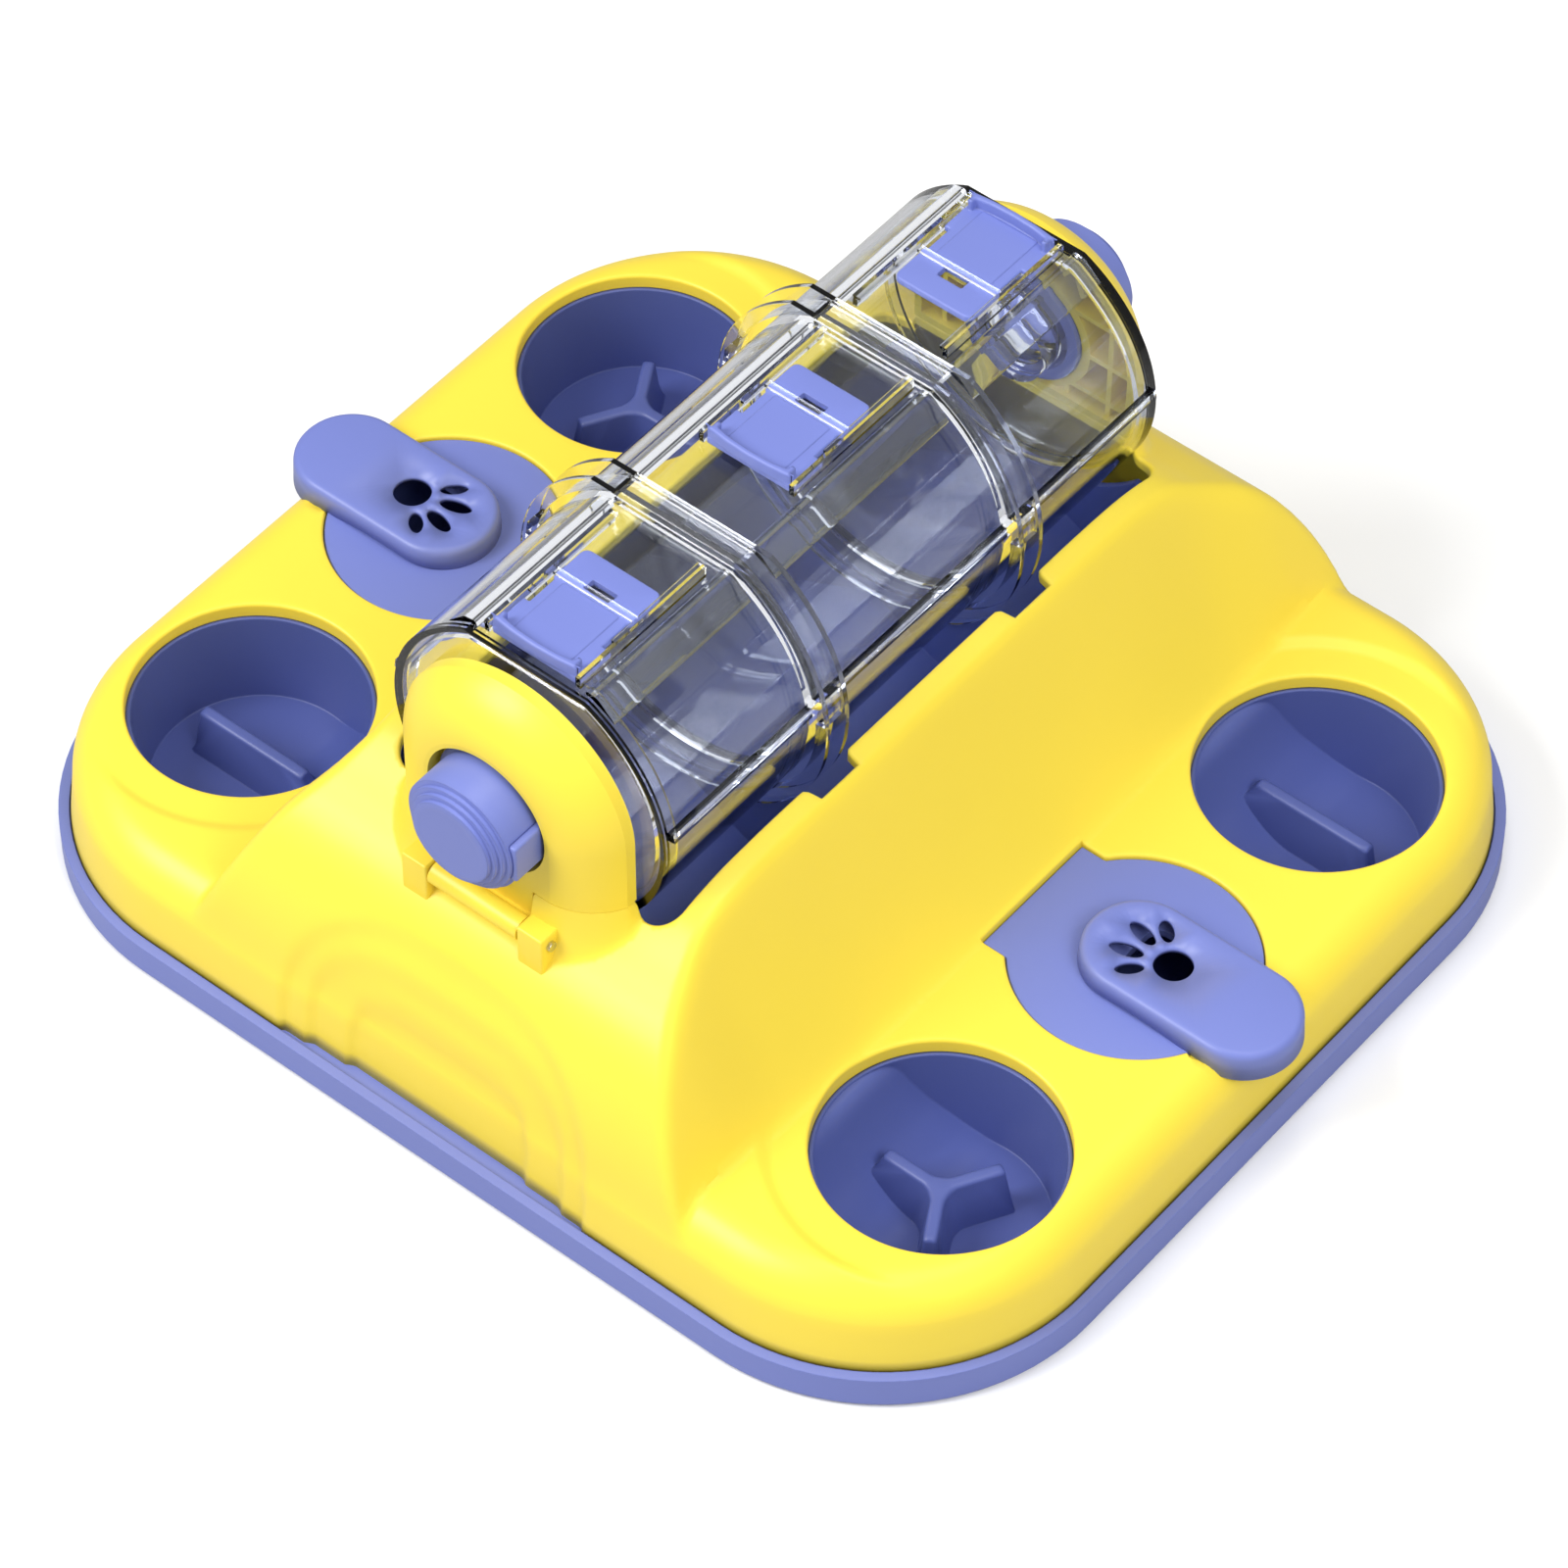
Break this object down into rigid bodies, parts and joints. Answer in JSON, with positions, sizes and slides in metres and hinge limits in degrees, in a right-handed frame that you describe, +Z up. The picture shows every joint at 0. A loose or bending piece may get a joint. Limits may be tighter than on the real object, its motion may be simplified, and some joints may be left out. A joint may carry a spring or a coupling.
{
  "type": "dog puzzle feeder",
  "caption": "Dog puzzle feeder with open treat cups, lidded bins and a clear treat drum that turns between folding end brackets.",
  "frame": {"origin": "centre of the footprint, on the surface that the feet stand on", "axes": "+X along the longer side of the tray, +Y along the drum's axis to the rear end, +Z up"},
  "size_m": [0.346, 0.3014, 0.1629],
  "materials": {
    "yellow_plastic": "satin moulded plastic",
    "blue_plastic": "satin moulded plastic",
    "clear_plastic": "clear polished plastic",
    "steel": "plain turned steel",
    "foot_rubber": "matt soft rubber"
  },
  "bodies": {
    "base": {"base_tray": "blue_plastic", "bin_cup_left": "blue_plastic", "bin_cup_right": "blue_plastic", "cover_screws": "steel", "drum_trough": "blue_plastic", "foot_front_left": "foot_rubber", "foot_front_right": "foot_rubber", "foot_rear_left": "foot_rubber", "foot_rear_right": "foot_rubber", "hinge_pin_front": "steel", "hinge_pin_rear": "steel", "top_cover": "yellow_plastic", "well_cup_front_left": "blue_plastic", "well_cup_front_right": "blue_plastic", "well_cup_rear_left": "blue_plastic", "well_cup_rear_right": "blue_plastic"},
    "drum": {"drum_end_front": "clear_plastic", "drum_end_rear": "clear_plastic", "drum_lower_shell": "clear_plastic", "drum_partition_front": "clear_plastic", "drum_partition_rear": "clear_plastic", "drum_ring_front": "clear_plastic", "drum_ring_rear": "clear_plastic", "drum_upper_shell": "clear_plastic"},
    "front_door": {"door_front": "blue_plastic"},
    "middle_door": {"door_middle": "blue_plastic"},
    "rear_door": {"door_rear": "blue_plastic"},
    "front_bracket": {"end_bracket_front": "yellow_plastic"},
    "front_knob": {"pivot_knob_front": "blue_plastic"},
    "rear_bracket": {"end_bracket_rear": "yellow_plastic"},
    "rear_knob": {"pivot_knob_rear": "blue_plastic"},
    "left_lid": {"lid_left": "blue_plastic"},
    "right_lid": {"lid_right": "blue_plastic"}
  },
  "joints": [
    {"name": "drum_spin", "type": "hinge", "parent": "base", "child": "drum", "pos_m": [0, 0, 0.116], "axis": [0, 1, 0], "continuous": true},
    {"name": "front_door_slide", "type": "slide", "parent": "drum", "child": "front_door", "axis": [0, 1, 0], "range_m": [0, 0.013]},
    {"name": "middle_door_slide", "type": "slide", "parent": "drum", "child": "middle_door", "axis": [0, 1, 0], "range_m": [0, 0.013]},
    {"name": "rear_door_slide", "type": "slide", "parent": "drum", "child": "rear_door", "axis": [0, -1, 0], "range_m": [0, 0.013]},
    {"name": "front_bracket_fold", "type": "hinge", "parent": "base", "child": "front_bracket", "pos_m": [0, -0.123, 0.084], "axis": [1, 0, 0], "range_deg": [0, 90]},
    {"name": "front_knob_pull", "type": "slide", "parent": "front_bracket", "child": "front_knob", "axis": [0, -1, 0], "range_m": [0, 0.004]},
    {"name": "rear_bracket_fold", "type": "hinge", "parent": "base", "child": "rear_bracket", "pos_m": [0, 0.123, 0.084], "axis": [-1, 0, 0], "range_deg": [0, 90]},
    {"name": "rear_knob_pull", "type": "slide", "parent": "rear_bracket", "child": "rear_knob", "axis": [0, 1, 0], "range_m": [0, 0.004]},
    {"name": "left_lid_hinge", "type": "hinge", "parent": "base", "child": "left_lid", "pos_m": [-0.08775, 0, 0.03585], "axis": [0, 1, 0], "range_deg": [0, 95]},
    {"name": "right_lid_hinge", "type": "hinge", "parent": "base", "child": "right_lid", "pos_m": [0.08775, 0, 0.03585], "axis": [0, -1, 0], "range_deg": [0, 95]}
  ]
}
